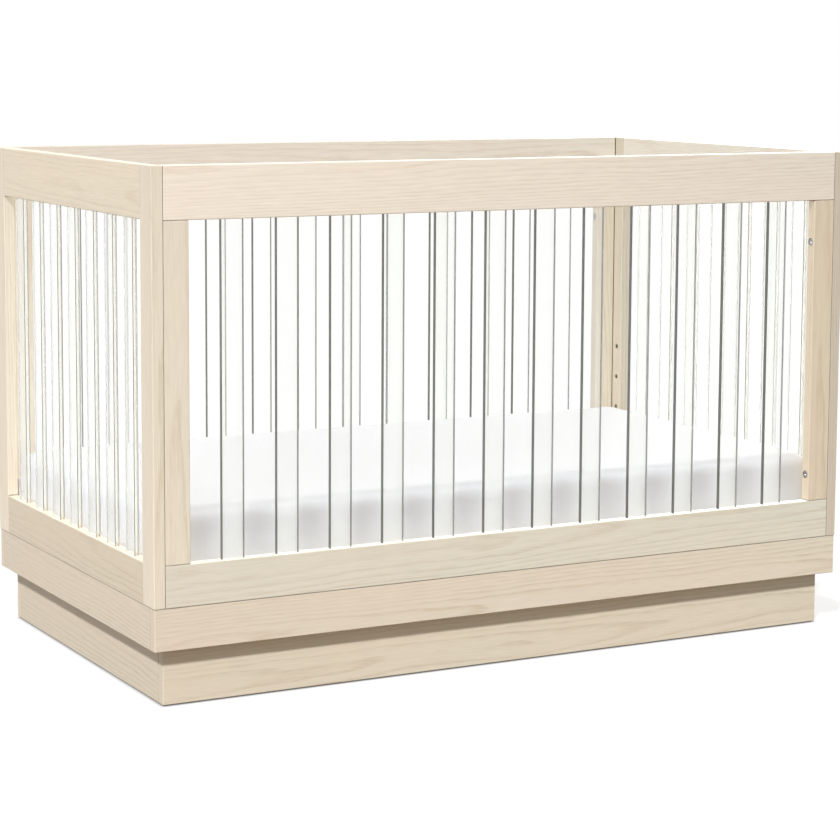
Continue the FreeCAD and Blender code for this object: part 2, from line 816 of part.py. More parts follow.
def make_angle(panel):
    """A steel angle: its upright leg keeps the mattress in, its flat leg carries the wires."""
    is_side = panel in SIDES
    half = side_angle_half if is_side else end_angle_half
    leg = crib.angle_leg
    thickness = crib.angle_thickness
    angle = new_body(f"support_{panel}_angle")
    sketch = sketch_across(angle, "x")
    draw_outline(sketch, [(0, 0), (leg, 0), (leg, thickness), (thickness, thickness), (thickness, leg),
                          (0, leg)])
    pad(angle, "x", sketch, half * 2)
    if not is_side:
        spots = [(half + spot * side, crib.rivet_height) for spot in rivet_spots for side in (-1, 1)]
        bore(angle, "-y", 0, spots, crib.rivet_diameter, thickness)
    inset = half_depth - support_y if is_side else half_length - bracket_inner_x
    place_on(panel, angle, -half, inset, support_base)
    node(angle, angle.Name)


for panel in PANELS:
    make_angle(panel)

wire_radius = crib.wire_diameter / 2
cross_wire_level = support_base + crib.angle_thickness + wire_radius
cross_wire_half = support_y - crib.angle_thickness
cross_wire_reach = side_angle_half - crib.cross_wire_end_distance
cross_wires = new_body("support_cross_wires")
sketch = sketch_across(cross_wires, "y", -cross_wire_reach, -cross_wire_half, cross_wire_level)
draw_circle(sketch, 0, 0, crib.wire_diameter)
pad(cross_wires, "y", sketch, cross_wire_half * 2)
row_of(cross_wires, "x", crib.cross_wire_count, cross_wire_reach * 2 / (crib.cross_wire_count - 1))
node(cross_wires, "support_cross_wires")

long_wire_half = bracket_inner_x - crib.angle_leg
long_wire_reach = support_y - crib.long_wire_side_distance
long_wires = new_body("support_long_wires")
sketch = sketch_across(long_wires, "x", -long_wire_half, -long_wire_reach,
                       cross_wire_level - crib.wire_diameter)
draw_circle(sketch, 0, 0, crib.wire_diameter)
pad(long_wires, "x", sketch, long_wire_half * 2)
row_of(long_wires, "y", crib.long_wire_count, long_wire_reach * 2 / (crib.long_wire_count - 1))
node(long_wires, "support_long_wires")

# A bracket hooks over its bolt from above: the slot is open at the bottom.
hook_above_support = hook_height - support_base
brackets = new_body("support_corner_brackets")
tab_top = hook_above_support + crib.bracket_above_hook
foot_top = crib.bracket_foot_height
outline = [(-crib.bracket_tab_outer, 0), (crib.bracket_foot_length, 0),
           (crib.bracket_foot_length, foot_top), (crib.bracket_tab_inner, foot_top),
           (crib.bracket_tab_inner, tab_top), (-crib.bracket_tab_outer, tab_top)]
sketch = sketch_across(brackets, "x", -bracket_x, -hole_y, support_base)
draw_outline(sketch, outline)
pad(brackets, "x", sketch, crib.bracket_thickness)
slot_width = crib.bolt_diameter + crib.hook_clearance * 2
sketch = sketch_across(brackets, "x", -bracket_inner_x, -hole_y, support_base)
draw_outline(sketch, rectangle(-slot_width / 2, as_size(0), slot_width, hook_above_support))
cut(brackets, "+x", sketch, crib.bracket_thickness)
hook = sketch_across(brackets, "x", -bracket_inner_x, -hole_y, hook_height)
draw_circle(hook, 0, 0, slot_width)
cut(brackets, "+x", hook, crib.bracket_thickness)
rivet_holes = sketch_across(brackets, "x", -bracket_inner_x, 0, support_base)
for spot in rivet_spots:
    draw_circle(rivet_holes, -spot, crib.rivet_height, crib.rivet_diameter)
cut(brackets, "+x", rivet_holes, crib.bracket_thickness)
mirror(brackets, "x", "y")
node(brackets, "support_corner_brackets")

rivets = new_body("support_rivets")
grip = crib.bracket_thickness + crib.angle_thickness
head = crib.rivet_head_height
rivet_radius = crib.rivet_diameter / 2
head_radius = crib.rivet_head_diameter / 2
rivet_outline = [(0, 0), (grip + head, 0), (grip + head, head_radius / 2), (grip + head / 2, head_radius),
                 (grip, head_radius), (grip, rivet_radius), (0, rivet_radius)]
for spot in rivet_spots:
    revolve(rivets, "x", -bracket_x, -spot, support_base + crib.rivet_height, rivet_outline)
mirror(rivets, "x", "y")
node(rivets, "support_rivets")


# ---- mattress ----------------------------------------------------------------------------------

mattress = new_body("mattress")
mattress_base = cross_wire_level + wire_radius + crib.mattress_above_wires
sketch = sketch_across(mattress, "z", -mattress_length / 2, -mattress_width / 2, mattress_base)
draw_outline(sketch, rectangle(as_size(0), as_size(0), mattress_length, mattress_width))
block = pad(mattress, "z", sketch, crib.mattress_thickness)
doc.recompute()
upright = []
for index, edge in enumerate(block.Shape.Edges, start=1):
    if edge.BoundBox.ZLength > edge.BoundBox.XLength + edge.BoundBox.YLength:
        upright.append(f"Edge{index}")
corners = mattress.newObject("PartDesign::Fillet", "Corners")
corners.Base = (block, upright)
bind(corners, "Radius", crib.mattress_corner_radius)
doc.recompute()
level_edges = []
for index, edge in enumerate(corners.Shape.Edges, start=1):
    if edge.BoundBox.ZLength < crib.edge_radius.value:
        level_edges.append(f"Edge{index}")
rounding = mattress.newObject("PartDesign::Fillet", "Rounding")
rounding.Base = (corners, level_edges)
bind(rounding, "Radius", crib.mattress_edge_radius)
node(mattress, "mattress")


# ---- checks and export -------------------------------------------------------------------------

doc.recompute()
for thing in doc.Objects:
    if "Invalid" in thing.State or "Error" in thing.State:
        raise RuntimeError(f"{thing.Label} of {thing.getParent()} did not build: {thing.State}")
    if thing.isDerivedFrom("PartDesign::Pocket"):
        before = thing.BaseFeature.Shape.Volume
        if before - thing.Shape.Volume < 1:
            raise RuntimeError(f"{thing.Name} removed nothing")
for piece in nodes:
    if piece.Shape.isNull() or not piece.Shape.isValid():
        raise RuntimeError(f"{piece.Label} has no valid shape")
os.makedirs("parts", exist_ok=True)
for piece in nodes:
    piece.Shape.exportStep(f"parts/{piece.Label}.step")
    print(piece.Label, len(piece.Shape.Solids), "solids", round(piece.Shape.Volume / 1000), "cm3")
print(len(nodes), "nodes")
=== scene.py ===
# %% [markdown]
# # A baby crib in washed pine and clear acrylic
# The crib's shape comes packed from CAD: four framed panels with clear slats, a skirt and a recessed
# plinth, a steel support and a plain block for the mattress. Here it gets its finishes, and the block
# becomes a soft mattress. The CAD parts stay where they are, because their places are already right.

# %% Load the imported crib
import json
import math

import bpy
import numpy as np
from mathutils import Matrix, Vector


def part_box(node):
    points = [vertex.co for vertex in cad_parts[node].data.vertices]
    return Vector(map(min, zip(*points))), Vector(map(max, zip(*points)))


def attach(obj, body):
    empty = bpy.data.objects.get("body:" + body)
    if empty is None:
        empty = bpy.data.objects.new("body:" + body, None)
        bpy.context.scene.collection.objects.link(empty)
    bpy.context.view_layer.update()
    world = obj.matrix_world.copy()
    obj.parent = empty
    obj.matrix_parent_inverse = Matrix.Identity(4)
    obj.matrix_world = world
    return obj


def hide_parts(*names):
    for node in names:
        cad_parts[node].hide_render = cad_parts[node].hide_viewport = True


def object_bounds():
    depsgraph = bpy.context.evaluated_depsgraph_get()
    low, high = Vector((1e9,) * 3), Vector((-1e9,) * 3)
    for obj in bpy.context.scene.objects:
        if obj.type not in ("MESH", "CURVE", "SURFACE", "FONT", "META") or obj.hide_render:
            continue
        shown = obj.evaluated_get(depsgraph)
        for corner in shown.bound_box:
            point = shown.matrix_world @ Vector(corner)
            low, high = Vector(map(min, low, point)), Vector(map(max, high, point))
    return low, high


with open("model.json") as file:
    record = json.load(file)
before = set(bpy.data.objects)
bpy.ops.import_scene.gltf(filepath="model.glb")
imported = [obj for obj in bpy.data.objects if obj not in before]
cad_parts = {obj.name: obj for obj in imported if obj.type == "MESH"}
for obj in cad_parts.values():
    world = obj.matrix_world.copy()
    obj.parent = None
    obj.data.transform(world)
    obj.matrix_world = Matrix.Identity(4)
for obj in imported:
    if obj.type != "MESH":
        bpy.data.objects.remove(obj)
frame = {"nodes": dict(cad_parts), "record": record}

crib_low, crib_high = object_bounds()
crib_middle = (crib_low + crib_high) / 2
print("crib:", [round(side * 1000) for side in crib_high - crib_low], "mm")

# %% [markdown]
# ## Colours
# A paint chart or a screen gives a colour as sRGB, which is bent for the eye, while a shader adds up
# light and so needs linear numbers. One function turns the first into the second, for every finish.


# %% Turn an sRGB hex colour to linear
def linear(hex_colour):
    """Takes two hex digits a channel, then undoes the sRGB curve: a short straight toe, then a power."""
    channels = [int(hex_colour[i:i + 2], 16) / 255 for i in (1, 3, 5)]
    return tuple(c / 12.92 if c <= 0.04045 else ((c + 0.055) / 1.055) ** 2.4 for c in channels)


def solid(hex_colour):
    return (*linear(hex_colour), 1.0)


print("linear mid grey:", [round(c, 3) for c in linear("#808080")])

# %% [markdown]
# ## Building materials from nodes
# A finish is a small network. One helper adds any node, sets what stays the same and links what
# varies, so that each finish below reads as a list of what is mixed with what.


# %% Add a node with its settings and links
def add(tree, kind, sockets=None, **settings):
    """Adds one node. Settings are its own properties; a socket takes a plain value or another's output."""
    node = tree.nodes.new(kind)
    for name, value in settings.items():
        setattr(node, name, value)
    for name, value in (sockets or {}).items():
        if isinstance(value, bpy.types.NodeSocket):
            tree.links.new(value, node.inputs[name])
        else:
            node.inputs[name].default_value = value
    return node


# A colour mix keeps its two colours in these input sockets and its result in this output socket.
FIRST, SECOND, MIXED = 6, 7, 2


def new_material(name):
    material = bpy.data.materials.new(name)
    material.use_nodes = True
    material.node_tree.nodes.clear()
    return material, material.node_tree


def show(tree, shader):
    add(tree, "ShaderNodeOutputMaterial", {"Surface": shader.outputs[0]})


def paint(node_name, material):
    """Gives every slot of a CAD node one material."""
    slots = frame["nodes"][node_name].data.materials
    for i in range(max(1, len(slots))):
        if len(slots) <= i:
            slots.append(material)
        else:
            slots[i] = material


# %% [markdown]
# ## Washed pine
# The frame is solid pine, planed, sanded, rubbed with a thin pale wash and sealed with satin lacquer.
# The wash fills the soft early wood and leaves the hard late wood showing as fine warm lines, so the
# lines must follow real rings. A picture of wood would repeat from board to board. Instead each board
# is cut from its own imagined log: the distance to the log's pith, bent a little by noise, gives the
# rings, and the same rings come out curved on the end grain with no further work.

# %% The sizes of the grain, in metres
ring_spacing = 0.0052       # plantation pine: about five rings to the inch
ring_wander = 0.010         # how far a ring strays from a true circle
fibre_width = 0.0016        # real fibres are finer; drawn as coarse as shows from across a room
fibre_length = 0.045
joint_shade_reach = 0.003         # how near another surface must be for the painted joint shade to darken the wood
log_tilt = math.radians(0.8)

# How the Object coordinates are turned so that their first axis runs along the grain.
GRAIN_TURN = {"x": (0, 0, 0), "y": (0, 0, -math.pi / 2), "z": (0, math.pi / 2, 0)}


# %% The rings of one log
def log_rings(tree, at, pith):
    """How far into its ring each point is, from 0 to 1.

    It is the fractional part of the distance from the pith over the ring spacing. The pith runs along
    the grain, a little tilted, and noise moves the point sideways first, so that rings stray.
    """
    log = add(tree, "ShaderNodeMapping", {"Vector": at.outputs[0], "Location": pith,
                                          "Rotation": (0, log_tilt, log_tilt * 0.6)})
    stray_at = add(tree, "ShaderNodeVectorMath", {0: log.outputs[0], 1: (1.3, 8.0, 8.0)},
                   operation="MULTIPLY")
    stray = add(tree, "ShaderNodeTexNoise", {"Vector": stray_at.outputs[0], "Scale": 1.6, "Detail": 3.0,
                                             "Roughness": 0.5})
    sideways = add(tree, "ShaderNodeVectorMath", {0: stray.outputs["Color"], 1: (0.5, 0.5, 0.5)},
                   operation="SUBTRACT")
    strayed = add(tree, "ShaderNodeVectorMath",
                  {0: sideways.outputs[0], 1: (0, ring_wander * 2, ring_wander * 2),
                   2: log.outputs[0]}, operation="MULTIPLY_ADD")
    across = add(tree, "ShaderNodeVectorMath", {0: strayed.outputs[0], 1: (0, 1, 1)},
                 operation="MULTIPLY")
    radius = add(tree, "ShaderNodeVectorMath", {0: across.outputs[0]}, operation="LENGTH")
    count = add(tree, "ShaderNodeMath", {0: radius.outputs["Value"], 1: ring_spacing},
                operation="DIVIDE")
    return add(tree, "ShaderNodeMath", {0: count.outputs[0]}, operation="FRACT")


# %% A board's colour, from rings, wash and fibres, with painted shade in its joints
def stretched_noise(tree, at, length, width, detail=2.0):
    """Noise whose blotches are about this long along the grain and this wide across it, in metres."""
    scaled = add(tree, "ShaderNodeVectorMath",
                 {0: at.outputs[0], 1: (1 / length, 1 / width, 1 / width)}, operation="MULTIPLY")
    return add(tree, "ShaderNodeTexNoise", {"Vector": scaled.outputs[0], "Scale": 1.0,
                                            "Detail": detail, "Roughness": 0.55})


def late_wood(tree, at, pith, strength):
    """How dark the late wood is: slow to darken, sharp to end, and fading where the wash lies thick."""
    shade = add(tree, "ShaderNodeValToRGB", {"Fac": log_rings(tree, at, pith).outputs[0]})
    stops = shade.color_ramp.elements
    stops[0].position, stops[0].color = 0.0, (0.2, 0.2, 0.2, 1)
    stops[1].position, stops[1].color = 1.0, (0.25, 0.25, 0.25, 1)
    for position, value in ((0.2, 0.0), (0.6, 0.25), (0.85, 1.0), (0.94, 0.9)):
        stops.new(position).color = (value, value, value, 1)
    wash = stretched_noise(tree, at, 0.45, 0.06)
    cover = add(tree, "ShaderNodeMapRange", {"Value": wash.outputs["Fac"], "From Min": 0.3,
                                             "From Max": 0.7, "To Min": 0.2 * strength,
                                             "To Max": strength})
    broken = stretched_noise(tree, at, 0.03, 0.003)
    gaps = add(tree, "ShaderNodeMapRange", {"Value": broken.outputs["Fac"], "From Min": 0.35,
                                            "From Max": 0.6, "To Min": 0.45, "To Max": 1.0})
    lines = add(tree, "ShaderNodeMath", {0: shade.outputs["Color"], 1: cover.outputs[0]},
                operation="MULTIPLY")
    return add(tree, "ShaderNodeMath", {0: lines.outputs[0], 1: gaps.outputs[0]}, operation="MULTIPLY")


def times(tree, colour, factor):
    return add(tree, "ShaderNodeVectorMath", {0: colour, "Scale": factor}, operation="SCALE").outputs[0]


def washed_pine(name, board, along, pale, late, pith, strength=0.68, end_darkening=0.0):
    """Pine with its grain along one axis, cut from a log whose pith lies beside the board's middle.

    End darkening is how much darker the far end of the board is than its middle.
    """
    low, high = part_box(board)
    material, tree = new_material(name)
    place = add(tree, "ShaderNodeTexCoord")
    centred = add(tree, "ShaderNodeMapping", {"Vector": place.outputs["Object"],
                                              "Location": -(low + high) / 2})
    turned = add(tree, "ShaderNodeMapping", {"Vector": centred.outputs[0], "Rotation": GRAIN_TURN[along]})

    dark = late_wood(tree, turned, pith, strength)
    grained = add(tree, "ShaderNodeMix", {"Factor": dark.outputs[0], FIRST: solid(pale),
                                          SECOND: solid(late)},
                  data_type="RGBA")
    drift = stretched_noise(tree, turned, 0.40, 0.12, detail=1.0)
    pink_or_green = add(tree, "ShaderNodeMix", {"Factor": drift.outputs["Fac"],
                                                FIRST: (1.035, 0.99, 0.97, 1),
                                                SECOND: (0.965, 1.005, 1.01, 1)},
                        data_type="RGBA")
    drifted = add(tree, "ShaderNodeMix", {"Factor": 1.0, FIRST: grained.outputs[MIXED],
                                          SECOND: pink_or_green.outputs[MIXED]},
                  data_type="RGBA", blend_type="MULTIPLY")
    fibre = stretched_noise(tree, turned, fibre_length, fibre_width, detail=3.0)
    fibre_tone = add(tree, "ShaderNodeMapRange", {"Value": fibre.outputs["Fac"], "From Min": 0.3,
                                                  "From Max": 0.7, "To Min": 0.94, "To Max": 1.05})
    colour = times(tree, drifted.outputs[MIXED], fibre_tone.outputs[0])
    half = (high - low)["xyz".index(along)] / 2
    along_board = add(tree, "ShaderNodeSeparateXYZ", {"Vector": turned.outputs[0]})
    # Darker towards the board's far end and lighter towards its near end.
    thin = add(tree, "ShaderNodeMapRange", {"Value": along_board.outputs["X"], "From Min": -half,
                                            "From Max": half, "To Min": 1 + end_darkening,
                                            "To Max": 1 - end_darkening})
    colour = times(tree, colour, thin.outputs[0])

    # End grain drinks more of the finish and dries darker.
    normal = add(tree, "ShaderNodeVectorRotate", {"Vector": place.outputs["Normal"],
                                                  "Rotation": GRAIN_TURN[along]},
                 rotation_type="EULER_XYZ")
    facing = add(tree, "ShaderNodeSeparateXYZ", {"Vector": normal.outputs[0]})
    end_face = add(tree, "ShaderNodeMath", {0: facing.outputs["X"]}, operation="ABSOLUTE")
    end_tone = add(tree, "ShaderNodeMapRange", {"Value": end_face.outputs[0], "From Min": 0.6,
                                                "From Max": 0.9, "To Min": 1.0, "To Max": 0.93})
    colour = times(tree, colour, end_tone.outputs[0])

    # Painted shade: ambient occlusion darkens the wood wherever another surface lies close, which
    # draws each joint between two boards as a fine dark line.
    joint = add(tree, "ShaderNodeAmbientOcclusion", {"Distance": joint_shade_reach}, samples=6)
    painted_joint_shade = add(tree, "ShaderNodeMapRange", {"Value": joint.outputs["AO"], "From Min": 0.45,
                                                  "From Max": 0.95, "To Min": 0.1, "To Max": 1.0})
    colour = times(tree, colour, painted_joint_shade.outputs[0])

    relief = add(tree, "ShaderNodeMath", {0: fibre.outputs["Fac"], 1: 0.6, 2: dark.outputs[0]},
                 operation="MULTIPLY_ADD")
    bump = add(tree, "ShaderNodeBump", {"Height": relief.outputs[0], "Strength": 0.2,
                                        "Distance": 0.0003})
    gloss = add(tree, "ShaderNodeMapRange", {"Value": dark.outputs[0], "To Min": 0.50, "To Max": 0.44})
    wood = add(tree, "ShaderNodeBsdfPrincipled",
               {"Base Color": colour, "Roughness": gloss.outputs[0], "IOR": 1.5,
                "Normal": bump.outputs[0]})
    show(tree, wood)
    return material


# %% [markdown]
# ## Which way each board's grain runs
# Rails and boards run level, and stiles stand. A joiner picks a different board for each, so every
# piece gets its own place in a log: some are cut near the pith and show long arches, others far from
# it and show near-straight lines. The list is short because it follows the pieces' names.

# %% Finish every wooden piece
TONES = {
    "top_rail": ("#F0E6D9", "#DAC6B1"),
    "bottom_rail": ("#E3DDCE", "#C9BBA3"),
    "stile": ("#ECE2D1", "#D4C2A9"),
    "skirt": ("#E5D9C8", "#C9B498"),
    "plinth": ("#E2D7C5", "#C6B298"),
    "raw": ("#DDC49E", "#BE9A6B"),
}
# Single boards set lighter or darker than the rest of their kind; among them the left skirt and
# plinth boards are set darker as painted shade, for the dimmer light on the left end.
ODD_AND_SHADED_BOARDS = {
    "left_top_rail": ("#EADFCC", "#D6C5AE"),
    "left_bottom_rail": ("#DBCFBC", "#C2AF97"),
    "right_top_rail": ("#F6EFE2", "#E0D2BE"),
    "front_right_stile": ("#DCCFB9", "#C5B296"),
    "back_right_stile": ("#E2D9C8", "#CCBCA4"),
    "right_end_back_stile": ("#E2D9C8", "#CCBCA4"),
    # Painted shade: the left end's base boards are darker because less light falls on that side.
    "skirt_left_board": ("#DDD1C0", "#C2AE94"),
    "plinth_left_board": ("#DACFBE", "#BFAC93"),
}
long_way = {"front": "x", "back": "x", "left": "y", "right": "y"}


def grain_of(name):
    """The grain runs along the longest side of the piece's box, and of each piece of a group."""
    if "stile" in name or "blocks" in name or name == "side_stile_dowels":
        return "z"
    if name == "end_rail_dowels" or name == "plinth_cross_brace":
        return "y"
    side = next((side for side in long_way if side in name), "front")
    return long_way[side]


def tone_of(name):
    found = [key for key in TONES if key in name and key != "raw"]
    return found[0] if found and "dowels" not in name and "blocks" not in name else "raw"


wooden = [part["node"] for part in frame["record"]["subparts"] if part["material_slot"].endswith("wood")]
log_choice = 7               # another number picks other logs
usual_end_darkening = 0.015
front_rail_end_darkening = 0.08   # this rail grows darker towards its far end
chooser = np.random.default_rng(log_choice)
for board in wooden:
    pale, late = ODD_AND_SHADED_BOARDS.get(board, TONES[tone_of(board)])
    pith = (chooser.uniform(-3, 3), chooser.uniform(0.03, 0.09), chooser.uniform(-0.05, 0.05))
    end_darkening = front_rail_end_darkening if board == "front_top_rail" else usual_end_darkening
    pine = washed_pine(f"washed_pine_{board}", board, grain_of(board), pale, late, pith,
                       end_darkening=end_darkening)
    paint(board, pine)
print(len(wooden), "wooden pieces finished")

# %% [markdown]
# ## Clear acrylic
# The slats are cut from cast acrylic sheet. Their faces are glass-clear. Their narrow edges are sawn
# and then polished, and the polish never quite clears the saw's haze, so an edge looks a little grey.
# Beyond that haze, the front slats' edges and every slat's eased corners are painted dark and nearly
# opaque: painted shade for the dark lines that refraction draws along a clear edge seen at a slant.
# The edge is told from the face by its normal, and glass with a little milky scatter stands for the
# faces. The end slats are seen at a slant, where the haze veils them more, so they are set a little
# less clear.
# The slats cast no shadow, because thin clear sheet would leave hardly any.


# %% Cast acrylic, for slats whose narrow edges face one axis
def by_turn(tree, turn, face, corner, edge):
    """One colour on a slat's broad faces, one round its eased corners and one on its narrow edges."""
    ramp = add(tree, "ShaderNodeValToRGB", {"Fac": turn})
    stops = ramp.color_ramp.elements
    stops[0].position, stops[0].color = 0.12, face
    stops[1].position, stops[1].color = 0.99, edge
    for position in (0.2, 0.97):
        stops.new(position).color = corner
    return ramp.outputs[0]


def grey(value):
    return (value, value, value, 1.0)


def cast_acrylic(name, edge_axis, face_clear, edge, edge_clear, corner):
    """The turn is the size of the normal along one axis: 0 on a face, 1 on an edge."""
    material, tree = new_material(name)
    place = add(tree, "ShaderNodeTexCoord")
    facing = add(tree, "ShaderNodeSeparateXYZ", {"Vector": place.outputs["Normal"]})
    turn = add(tree, "ShaderNodeMath", {0: facing.outputs[edge_axis]}, operation="ABSOLUTE").outputs[0]
    slat = add(tree, "ShaderNodeBsdfPrincipled",
               {"Base Color": by_turn(tree, turn, solid("#FDFEFC"), solid(corner), solid(edge)),
                "Roughness": by_turn(tree, turn, grey(0.015), grey(0.35), grey(0.2)), "IOR": 1.49,
                "Transmission Weight": by_turn(tree, turn, grey(face_clear), grey(0.0), grey(edge_clear))})
    show(tree, slat)
    return material


# Painted shade: the front slats' edges and both panels' corners are dark and nearly opaque, drawing the
# lines that refraction makes; the end slats' edges, seen nearer square-on, stay pale.
front_acrylic = cast_acrylic("cast_acrylic_front", "X", 0.89, "#72726E", 0.25, "#5A5952")
end_acrylic = cast_acrylic("cast_acrylic_end", "Y", 0.8, "#F6F7EF", 0.8, "#66655B")
for panel in long_way:
    slats = f"{panel}_slats"
    paint(slats, front_acrylic if long_way[panel] == "x" else end_acrylic)
    frame["nodes"][slats].visible_shadow = False
print("slats are clear")

# %% [markdown]
# ## Metal and small parts
# Bolts, screws and plates are zinc-plated steel, a dull grey with a blue cast. The mattress support is
# powder-coated, and a powder coat dries with a fine pebbled skin. Inserts are turned brass. Glides
# are moulded plastic.


# %% One function for the plain finishes
def plain_finish(name, colour, roughness, metallic=0.0, grit=0.0008, relief=0.00004, ior=1.5):
    """A finish of one colour whose surface has grit of one size: noise moves its roughness and height."""
    material, tree = new_material(name)
    place = add(tree, "ShaderNodeTexCoord")
    noise = add(tree, "ShaderNodeTexNoise", {"Vector": place.outputs["Object"], "Scale": 1 / grit,
                                             "Detail": 2.0})
    wear = add(tree, "ShaderNodeMapRange", {"Value": noise.outputs["Fac"], "To Min": roughness - 0.06,
                                            "To Max": roughness + 0.06})
    tone = add(tree, "ShaderNodeMapRange", {"Value": noise.outputs["Fac"], "To Min": 0.93,
                                            "To Max": 1.05})
    shade = add(tree, "ShaderNodeVectorMath", {0: linear(colour), "Scale": tone.outputs[0]},
                operation="SCALE")
    bump = add(tree, "ShaderNodeBump", {"Height": noise.outputs["Fac"], "Strength": 0.5,
                                        "Distance": relief})
    finish = add(tree, "ShaderNodeBsdfPrincipled",
                 {"Base Color": shade.outputs[0], "Roughness": wear.outputs[0], "Metallic": metallic,
                  "IOR": ior, "Normal": bump.outputs[0]})
    show(tree, finish)
    return material


finishes = {
    "hardware": plain_finish("zinc_plated_steel", "#B4B6BA", 0.34, metallic=1.0),
    "support_steel": plain_finish("powder_coated_steel", "#D9D9D6", 0.5, grit=0.0012),
    "insert": plain_finish("nickel_plated_brass", "#B3B0A6", 0.3, metallic=1.0),
    "glide": plain_finish("moulded_polypropylene", "#C9C0AE", 0.55),
}
for part in frame["record"]["subparts"]:
    if part["material_slot"] in finishes:
        paint(part["node"], finishes[part["material_slot"]])
print(", ".join(finishes), "finished")

# %% [markdown]
# ## The mattress
# A crib mattress is a foam block in a knitted cover, pulled tight. Its top crowns a few millimetres,
# its corners are round, and its sides go in a little between the corners. Scaling a cube can't do
# that, so the cover is simulated: the block's skin becomes cloth, air pressure blows it up, and a cap
# keeps each point within the thickness that the foam would give.

# %% Copy the block as a skin of even squares
skin_square = 0.011
swell_up = 0.006      # how far the top may crown
swell_out = 0.0015    # how far the sides may go, which is less than the gap to the support
tuck = 0.0012         # the cover starts this far inside the block
air_pressure = 4.0
stretch_stiffness = 20
settling_steps = 20

mattress_low, mattress_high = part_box("mattress")
mattress_middle = (mattress_low + mattress_high) / 2
cover = bpy.data.objects.new("mattress_cover", frame["nodes"]["mattress"].data.copy())
bpy.context.scene.collection.objects.link(cover)
bpy.context.view_layer.objects.active = cover
cover.select_set(True)
weld = cover.modifiers.new("weld", "WELD")
weld.merge_threshold = 0.00001
remesh = cover.modifiers.new("skin", "REMESH")
remesh.mode = "VOXEL"
remesh.voxel_size = skin_square
remesh.use_smooth_shade = True
for name in ("weld", "skin"):
    bpy.ops.object.modifier_apply(modifier=name)
print("cover:", len(cover.data.polygons), "squares")


# %% Blow the cover up and cap the swelling
def read_points(mesh):
    points = np.empty(len(mesh.vertices) * 3)
    mesh.vertices.foreach_get("co", points)
    return points.reshape(-1, 3)


def write_points(mesh, points):
    mesh.vertices.foreach_set("co", points.ravel())
    mesh.update()


def soft_cap(distance, cap):
    """Follows small distances and levels off at the cap, as a hyperbolic tangent does."""
    return cap * np.tanh(distance / cap)


start = read_points(cover.data)
middle = np.array(mattress_middle)
start = middle + (start - middle) * (1 - tuck / np.array(mattress_high - mattress_middle))
write_points(cover.data, start)
cloth = cover.modifiers.new("knit", "CLOTH")
cloth.settings.use_pressure = True
cloth.settings.uniform_pressure_force = air_pressure
cloth.settings.effector_weights.gravity = 0.0
cloth.settings.quality = 4
cloth.settings.tension_stiffness = stretch_stiffness
cloth.settings.compression_stiffness = stretch_stiffness
cloth.collision_settings.use_collision = False
cloth.collision_settings.use_self_collision = False
cloth.point_cache.frame_end = settling_steps
for step in range(1, settling_steps + 1):
    bpy.context.scene.frame_set(step)
blown = cover.evaluated_get(bpy.context.evaluated_depsgraph_get()).to_mesh()
swelling = read_points(blown) - start
cover.modifiers.remove(cloth)
bpy.context.scene.frame_set(1)
print("free swelling:", np.abs(swelling).max(0).round(4))
capped = np.stack([soft_cap(swelling[:, 0], swell_out), soft_cap(swelling[:, 1], swell_out),
                   soft_cap(swelling[:, 2], swell_up)], axis=1)
shaped = start + capped
shaped[:, 2] = np.maximum(shaped[:, 2], mattress_low.z)
write_points(cover.data, shaped)
smooth = cover.modifiers.new("subdivide", "SUBSURF")
smooth.levels = smooth.render_levels = 1
cover.data.polygons.foreach_set("use_smooth", [True] * len(cover.data.polygons))
print("cover top at", round(read_points(cover.data)[:, 2].max() * 1000, 1), "mm")

# %% [markdown]
# ## The cover's cloth
# It is a white polyester knit, brushed on the back, so it scatters light softly and has a little
# sheen. Its loops are under a millimetre; here they are drawn three times too large, and shallow, so
# that they show as a faint tooth. A painted shade sets the top a little darker than the sides, to
# even out the stronger light that falls on it.

# %% Knit, and put it on
knit_loop = 0.0028


def white_knit(name):
    """Two crossed waves make the loops; painted shade, by how far the surface turns, darkens the top."""
    material, tree = new_material(name)
    place = add(tree, "ShaderNodeTexCoord")
    waves = []
    for direction in ("X", "Y"):
        wave = add(tree, "ShaderNodeTexWave", {"Vector": place.outputs["Object"],
                                               "Scale": math.pi / 10 / knit_loop, "Distortion": 0.6,
                                               "Detail": 1.0},
                   bands_direction=direction)
        waves.append(wave.outputs["Fac"])
    loops = add(tree, "ShaderNodeMath", {0: waves[0], 1: waves[1]}, operation="MULTIPLY")
    creases = add(tree, "ShaderNodeTexNoise", {"Vector": place.outputs["Object"], "Scale": 7.0,
                                               "Detail": 2.0})
    height = add(tree, "ShaderNodeMath", {0: creases.outputs["Fac"], 1: 2.0, 2: loops.outputs[0]},
                 operation="MULTIPLY_ADD")
    bump = add(tree, "ShaderNodeBump", {"Height": height.outputs[0], "Strength": 0.3,
                                        "Distance": 0.0006})
    facing = add(tree, "ShaderNodeSeparateXYZ", {"Vector": place.outputs["Normal"]})
    painted_top_shade = add(tree, "ShaderNodeMapRange", {"Value": facing.outputs["Z"], "From Min": 0.7,
                                              "From Max": 0.985})
    # Painted shade: the top's tone is darker than the sides' tone, to even out the stronger light on top.
    colour = add(tree, "ShaderNodeMix", {"Factor": painted_top_shade.outputs[0], FIRST: solid("#DADBDE"),
                                         SECOND: solid("#D1D2D3")}, data_type="RGBA")
    knit = add(tree, "ShaderNodeBsdfPrincipled",
               {"Base Color": colour.outputs[MIXED], "Roughness": 0.85, "IOR": 1.45, "Sheen Weight": 0.15,
                "Sheen Roughness": 0.4, "Normal": bump.outputs[0]})
    show(tree, knit)
    return material


cover.data.materials.clear()
cover.data.materials.append(white_knit("polyester_knit"))
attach(cover, "mattress_body")
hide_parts("mattress")
print("mattress covered")

